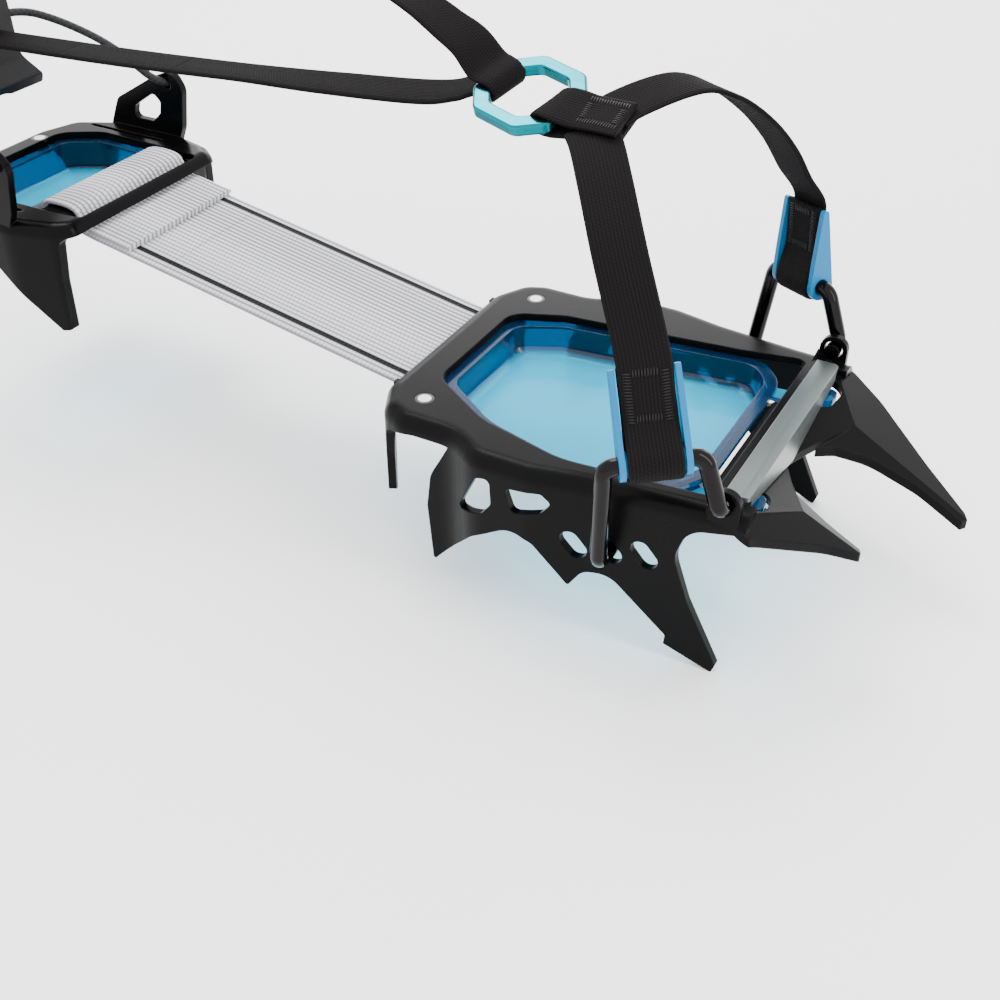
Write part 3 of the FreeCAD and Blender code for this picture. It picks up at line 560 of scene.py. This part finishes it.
def make_patch():
    """Webbing folded round the ring's front bar and sewn over the toe strap."""
    half = [(31.6, 5.6, 1.9, 1.0), (26.0, 3.8, 1.95, 1.0), (20.0, 1.8, 2.0, 1.0), (16.0, 0.4, 2.6, 1.0),
            (12.5, -0.8, 2.95, 0.97), (9.8, -1.5, 2.5, 0.93), (8.3, -1.8, 0.9, 0.9)]
    across = ring_turn @ arr(0, 1, 0)
    stations = [(ring_point(x, y, z), across, share) for x, y, z, share in half]
    stations += [(ring_point(x, y, -z), across, share) for x, y, z, share in reversed(half)]
    tape = Tape(stations, 0.8)
    patch = tape_mesh("ring_patch_webbing", tape, web_width, web_thick, web_ribs, web_depth, "black_web")
    first, last, wide, length = 1.2, 12.6, 5.9, tape.s[-1]
    boxes = [(first, last, wide, -1), (length - last, length - first, wide, -1), (first, last, wide, 1)]
    tacks = stitches("ring_patch_stitching", tape, boxes, web_thick)
    for piece in (patch, tacks):
        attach(piece, "front_section")
    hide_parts("ring_patch")


# ---- ankle strap -------------------------------------------------------------------------------
buckle_centre, buckle_tilt = arr(-182.5, 0, 107.0), math.radians(12.0)


def buckle_point(x, z):
    return buckle_centre + arr(x * math.cos(buckle_tilt) - z * math.sin(buckle_tilt), 0,
                               x * math.sin(buckle_tilt) + z * math.cos(buckle_tilt))


def make_ankle_strap():
    """One webbing from the lever's loop, below to the ring, round its rear bar and above to the buckle."""
    ring_across, y_axis = ring_turn @ arr(0, 1, 0), arr(0, 1, 0)
    back = [(-193.0, 0, 69.1), (-197.5, 0, 68.3), (-201.0, 0, 69.0), (-201.6, 0, 73.0), (-201.3, 0, 84.0),
            (-202.4, 0, 92.0), (-204.0, 0, 97.2), (-202.9, 0, 99.8), (-199.6, 0, 100.0), (-196.4, 0, 101.0)]
    loop = [buckle_point(x, z) for x, z in ((-13.2, -2.2), (-10.2, -2.6), (-8.6, -0.6), (-9.6, 2.2),
                                            (-13.0, 2.4), (-16.4, 0.6))]
    low = [(-180.7, 0, 69.7), (-135.0, -2.0, 72.6), (-105.7, -2.0, 74.3), (-73.7, -1.5, 76.3),
           (-44.5, 0, 77.7), (-6.2, 2.0, 80.8), (1.8, 3.0, 83.0)]
    high = [(4.3, 2.0, 97.0), (-1.6, 1.0, 101.0), (-10.8, 0, 106.6), (-26.0, 0, 112.0), (-60.0, 0, 117.5),
            (-110.0, 0, 119.0), (-150.0, 0, 115.0), (-162.0, 0, 112.4)]
    ladder = [buckle_point(x, z) for x, z in ((14.0, 2.4), (10.6, 2.1), (8.0, 0.4), (6.0, -1.9), (3.4, -2.3),
                                              (0.9, -1.6), (-0.6, 0.6), (1.4, 3.2), (5.0, 4.3), (14.0, 4.5))]
    spare = [(-160.0, 0, 115.2), (-148.0, 0, 117.4), (-132.0, 0, 119.6)]
    turn = [(-17.5, 0, -2.9, 1.0), (-13.5, 0, -2.9, 0.98), (-10.2, 0, -2.5, 0.92), (-8.7, 0, 0, 0.88),
            (-10.2, 0, 2.5, 0.92), (-13.5, 0, 2.9, 0.98), (-16.8, 0, 3.1, 1.0)]
    stations = [(p, y_axis) for p in reversed(loop)] + [(arr(*p), y_axis) for p in reversed(back)]
    for i, p in enumerate(low):
        share = max(0.0, (i - 3) / 3.0)
        stations.append((arr(*p), y_axis * (1 - share) + ring_across * share))
    stations += [(ring_point(x, y, z), ring_across, w) for x, y, z, w in turn]
    for i, p in enumerate(high):
        share = max(0.0, 1 - (i + 1) / 4.0)
        stations.append((arr(*p), y_axis * (1 - share) + ring_across * share))
    stations += [(p, y_axis) for p in ladder] + [(arr(*p), y_axis) for p in spare]
    tape = Tape(stations, 1.1)
    ring_at, buckle_at = tape.index(lambda c: -c[0]), tape.nearest(buckle_point(14, 2.4))

    def cut(x):
        """The sample nearest to x on the run below and on the run above."""
        below = np.argmin(np.abs(tape.centre[:ring_at, 0] - x))
        above = ring_at + np.argmin(np.abs(tape.centre[ring_at:buckle_at, 0] - x))
        return int(below), int(above)

    (low_a, high_a), (low_b, high_b) = cut(-100.0), cut(-150.0)
    spans = (("ankle_front", low_a, high_a, "front_section", "link", -4, -100),
             ("ankle_low_middle", low_b, low_a, "link", "heel_section", -100, -150),
             ("ankle_high_middle", high_a, high_b, "link", "heel_section", -100, -150),
             ("ankle_low_rear", 0, low_b, "heel_section", "heel_lever", -158, -190),
             ("ankle_high_rear", high_b, len(tape.s) - 1, "heel_section", "heel_lever", -152, -170))
    for name, first, last, a, b, x0, x1 in spans:
        piece = tape_mesh(name, tape.part(first, last), web_width, web_thick, web_ribs, web_depth,
                          "black_web")
        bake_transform(piece)
        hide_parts("ankle_strap")


# ---- link webbing ------------------------------------------------------------------------------
link_width, link_thick, link_ribs, link_depth = 56.0, 2.2, 27, 0.24
pin_x, pin_z, bar_x, bar_z = -0.5, -8.8, -143.0, 23.4
loop_radius = 3.7           # from a bar's centre to the webbing's middle
bar_half = 4.5              # half the flat of the adjuster bar
link_slope = 0.177


def link_height(x):
    return pin_z + loop_radius - link_slope * (x - pin_x)


def around(x, z, degrees):
    """Points (x, z) of a quarter or more of a loop; 0 degrees is ahead of its centre and 90 above it."""
    return [(x + loop_radius * math.cos(a), z + loop_radius * math.sin(a)) for a in np.radians(degrees)]


def make_link():
    across = arr(0, 1, 0)
    path = [(-10.5, -11.2), (-7.0, -11.6)]
    path += around(pin_x, pin_z, [-110, -70, -30, 10, 50, 85])
    path += [(x, link_height(x)) for x in (-12.0, -30.0, -55.0, -80.0, -100.0, -118.0, -130.0)]
    rear, ahead, top = bar_x - bar_half, bar_x + bar_half, bar_z + loop_radius
    path += [(ahead, bar_z - loop_radius), (rear, bar_z - loop_radius)]
    path += around(rear, bar_z, [230, 190, 150, 115])
    path += [(rear, top + 0.1), (bar_x, top + 0.35), (ahead, top)]
    path += around(ahead, bar_z, [50, 15])
    path += [(x, link_height(x) + link_thick + 0.1) for x in (-131.0, -127.0, -120.0, -113.7)]
    tape = Tape([(arr(x, 0, z), across) for x, z in path], 1.0)
    under = tape.index(lambda c: -c[0])
    cut = under + int(np.argmin(np.abs(tape.centre[under:under + 110, 0] + 100.0)))
    spans = (("link_webbing_front", 0, cut, "front_section", "link", -20, -95),
             ("link_webbing_rear", cut, len(tape.s) - 1, "link", "heel_section", -100, -112))
    for name, first, last, a, b, x0, x1 in spans:
        piece = tape_mesh(name, tape.part(first, last), link_width, link_thick, link_ribs, link_depth,
                          "pale_web")
        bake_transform(piece)
        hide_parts("link_strap")


# ---- heel cord -----------------------------------------------------------------------------------
cord_radius = 1.4


def make_heel_cord():
    side = [(-151.0, 48.4, 46.0), (-151.0, 39.5, 46.0), (-167.0, 36.0, 59.5), (-184.0, 27.0, 69.5),
            (-197.0, 18.5, 74.0)]
    route = side + [(x, -y, z) for x, y, z in reversed(side)]
    curve = bpy.data.curves.new("heel_cord_line", "CURVE")
    curve.dimensions = "3D"
    curve.bevel_depth, curve.bevel_resolution, curve.resolution_u = cord_radius * MM, 6, 24
    curve.use_fill_caps = True
    spline = curve.splines.new("NURBS")
    spline.points.add(len(route) - 1)
    for point, p in zip(spline.points, route):
        point.co = (*metres(*p), 1.0)
    spline.order_u, spline.use_endpoint_u = 3, True
    curve.materials.append(cord_paint())
    cord = bpy.data.objects.new("heel_cord_line", curve)
    bpy.context.collection.objects.link(cord)
    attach(cord, "heel_section")
    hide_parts("heel_cord")


def cord_paint():
    paint = Paint("braided_cord", (0.014, 0.014, 0.015), 0.65, Specular_IOR_Level=0.35)
    along, round_ = paint.split(paint.add("TexCoord", out="UV"))[:2]
    plait, turn = paint.math("MULTIPLY", along, 420.0), paint.math("MULTIPLY", round_, 6 * math.pi)
    left, right = paint.math("ADD", plait, turn), paint.math("SUBTRACT", plait, turn)
    braid = paint.math("MAXIMUM", paint.math("SINE", left), paint.math("SINE", right))
    # Colour darker in the dips between strands: painted shade.
    share = paint.ramp(braid, 0, 1, -0.5, 1)
    paint.set(Base_Color=paint.blend(share, (0.002, 0.002, 0.002, 1), (0.008, 0.008, 0.009, 1)))
    paint.bump(braid, 0.6, 0.00015)
    return paint.material


make_camera()
make_stage()
make_heel_cord()
paint_nodes()
make_toe_straps()
make_patch()
make_ankle_strap()
make_link()
